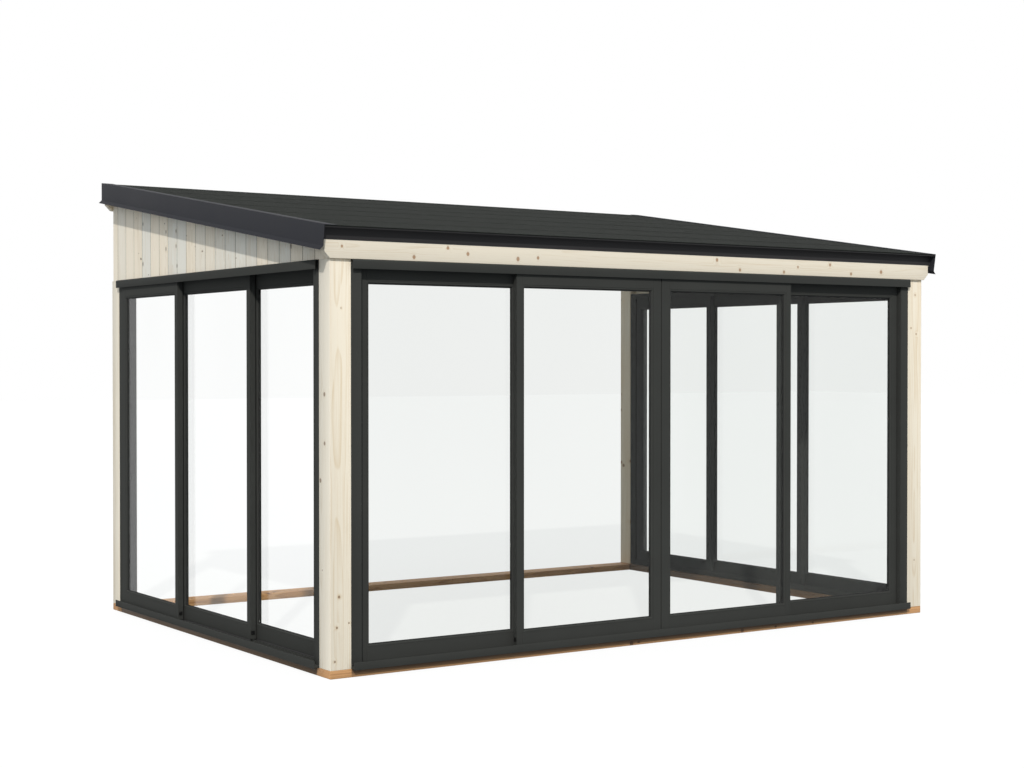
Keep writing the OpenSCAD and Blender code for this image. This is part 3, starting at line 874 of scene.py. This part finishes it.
HAIR = 0.00035                            # hair line left between butt joints
BEAD, BEAD_FLAT = 0.013, 0.0045           # width of the bead, and where its slope begins
BEAD_SET, BEAD_SLOPE = 0.0012, 0.0062     # depths of its flat and of its inner edge
GASKET = ((0.0, 0.0046), (-0.0030, 0.0030), (-0.0044, 0.0003), (0.0, 0.0003))
PILE_T, PILE_SET, PILE_END = 0.003, 0.0015, 0.004
PILE_FOOT = BASE_TOP + SILL_PLATE_T + 0.0012
PLUG_FOOT, PLUG_SIZE, PLUG_SET, PLUG_T = 0.092, 0.022, 0.004, 0.003


def sash_frame(side, number, plug_edge):
    """Stiles and rails with butt joints, a mitred glazing bead, rubber gaskets, a pile seal under
    each face, and an end plug on the edge that plug_edge names (-1 or 1, or 0 for none)."""
    name = f"{side}_sash_{number}"
    low, high = wall_box(side, name)
    pane_low, pane_high = wall_box(side, f"{side}_pane_{number}")
    opening = (pane_low.x, pane_low.z), (pane_high.x, pane_high.z)
    front, back = low.y, high.y
    bm = bmesh.new()
    u0, u1 = pane_low.x - BEAD, pane_high.x + BEAD
    z0, z1 = pane_low.z - BEAD, pane_high.z + BEAD
    block(bm, (low.x, front, low.z), (u0, back, high.z))
    block(bm, (u1, front, low.z), (high.x, back, high.z))
    block(bm, (u0 + HAIR, front, low.z), (u1 - HAIR, back, z0))
    block(bm, (u0 + HAIR, front, z1), (u1 - HAIR, back, high.z))
    rim(bm, *opening, [
        (BEAD - HAIR, front + BEAD_SET), (BEAD_FLAT, front + BEAD_SET), (0.0, front + BEAD_SLOPE),
        (0.0, back - BEAD_SLOPE), (BEAD_FLAT, back - BEAD_SET), (BEAD - HAIR, back - BEAD_SET),
    ])
    for glass_face, outward in ((pane_low.y, -1), (pane_high.y, 1)):
        section = [(wide, glass_face + outward * depth) for wide, depth in GASKET]
        rim(bm, *opening, section, RUBBER)
    for face in (front + PILE_SET, back - PILE_SET - PILE_T):
        ends = (low.x + PILE_END, face, PILE_FOOT), (high.x - PILE_END, face + PILE_T, low.z - HAIR)
        block(bm, *ends, PILE)
    if plug_edge:
        at = low.x - PLUG_T if plug_edge < 0 else high.x
        start = (at, front + PLUG_SET, PLUG_FOOT)
        block(bm, start, (at + PLUG_T, start[1] + PLUG_SIZE, PLUG_FOOT + PLUG_SIZE), PLASTIC)
    for vert in bm.verts:
        vert.co = TO_ROOM[side](*vert.co)
    bmesh.ops.recalc_face_normals(bm, faces=bm.faces)
    mesh = written(bm, name + "_frame", sash_coat, gasket_rubber, plug_plastic, pile_fibre)
    settle(name + "_frame", mesh, name, [name], SASH_ARRIS)


for side, plugs in (("front", (0, -1, 1, 0)), ("left", (1, 1, 0)), ("right", (1, 1, 0))):
    for number, plug in enumerate(plugs, 1):
        sash_frame(side, number, plug)

for node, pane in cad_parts.items():
    if "_pane_" in node:
        for place in pane.material_slots:
            place.material = front_glass if node.startswith("front") else side_glass

# ---- floor, light and camera ----
WHITE = (1.0, 1.0, 1.0, 1.0)
SKY, SKY_STRENGTH = (0.90, 0.955, 0.985, 1.0), 0.70
FLOOR, FLOOR_WIDE, FLOOR_LEVEL = (0.225, 0.24, 0.255, 1.0), 60.0, -0.001
VEIL, GLOW = (0.15, 0.15, 0.15, 1.0), 0.868    # what the floor shows: its shadows, over white
SUN, SUN_STRENGTH, SUN_ANGLE = (1.0, 0.965, 0.92), 2.42, 1.4
TOWARDS_SUN = Vector((-1.0, -1.42, 1.35))
CAMERA_PLACE, CAMERA_DOWN, CAMERA_TURN = (-6.1717, -9.1989, 1.5912), 0.73, -33.722
LENS, SENSOR, CLIP_END = 61.17, 36.0, 300.0


def shown_white(tree):
    """1 for rays that see the backdrop itself, 0 for those that carry its light."""
    light = add(tree, "ShaderNodeLightPath").outputs
    seen = calc(tree, "MAXIMUM", light["Is Camera Ray"], light["Is Glossy Ray"])
    return calc(tree, "MAXIMUM", seen, light["Is Transmission Ray"])


def backdrop():
    """A pale sky for light, shown as plain white."""
    world = bpy.data.worlds.new("studio")
    world.use_nodes = True
    scene.world = world
    tree = world.node_tree
    sky = tree.nodes["Background"]
    sky.inputs["Color"].default_value = SKY
    sky.inputs["Strength"].default_value = SKY_STRENGTH
    plain = add(tree, "ShaderNodeBackground", {"Color": WHITE, "Strength": 1.0})
    mixed = add(tree, "ShaderNodeMixShader", {0: shown_white(tree), 1: sky, 2: plain})
    feed(tree, tree.nodes["World Output"].inputs["Surface"], mixed)


def floor():
    """A floor that shows the object's shadow on white."""
    mesh = bpy.data.meshes.new("floor")
    around = ((-1, -1), (1, -1), (1, 1), (-1, 1))
    corners = [(x * FLOOR_WIDE, y * FLOOR_WIDE, FLOOR_LEVEL) for x, y in around]
    mesh.from_pydata(corners, [], [(0, 1, 2, 3)])
    sheet = bpy.data.objects.new("floor", mesh)
    scene.collection.objects.link(sheet)
    mat, tree, shader = finish("floor_white")
    tree.nodes.remove(shader)
    body = add(tree, "ShaderNodeBsdfDiffuse", {"Color": FLOOR})
    veil = add(tree, "ShaderNodeBsdfDiffuse", {"Color": VEIL})
    glow = add(tree, "ShaderNodeEmission", {"Color": WHITE, "Strength": GLOW})
    paper = add(tree, "ShaderNodeAddShader", {0: veil, 1: glow})
    mixed = add(tree, "ShaderNodeMixShader", {0: shown_white(tree), 1: body, 2: paper})
    feed(tree, tree.nodes["Material Output"].inputs["Surface"], mixed)
    mesh.materials.append(mat)


def sun():
    lamp = bpy.data.lights.new("key", "SUN")
    lamp.energy, lamp.color, lamp.angle = SUN_STRENGTH, SUN, math.radians(SUN_ANGLE)
    key = bpy.data.objects.new("key", lamp)
    key.rotation_mode = "QUATERNION"
    key.rotation_quaternion = TOWARDS_SUN.to_track_quat("Z", "Y")
    scene.collection.objects.link(key)


def camera():
    view = bpy.data.cameras.new("camera")
    view.lens, view.sensor_width, view.clip_end = LENS, SENSOR, CLIP_END
    holder = bpy.data.objects.new("camera", view)
    holder.location = CAMERA_PLACE
    holder.rotation_euler = (math.radians(90.0 - CAMERA_DOWN), 0.0, math.radians(CAMERA_TURN))
    scene.collection.objects.link(holder)
    scene.camera = holder


backdrop()
floor()
sun()
camera()
scene.view_settings.view_transform = "Standard"
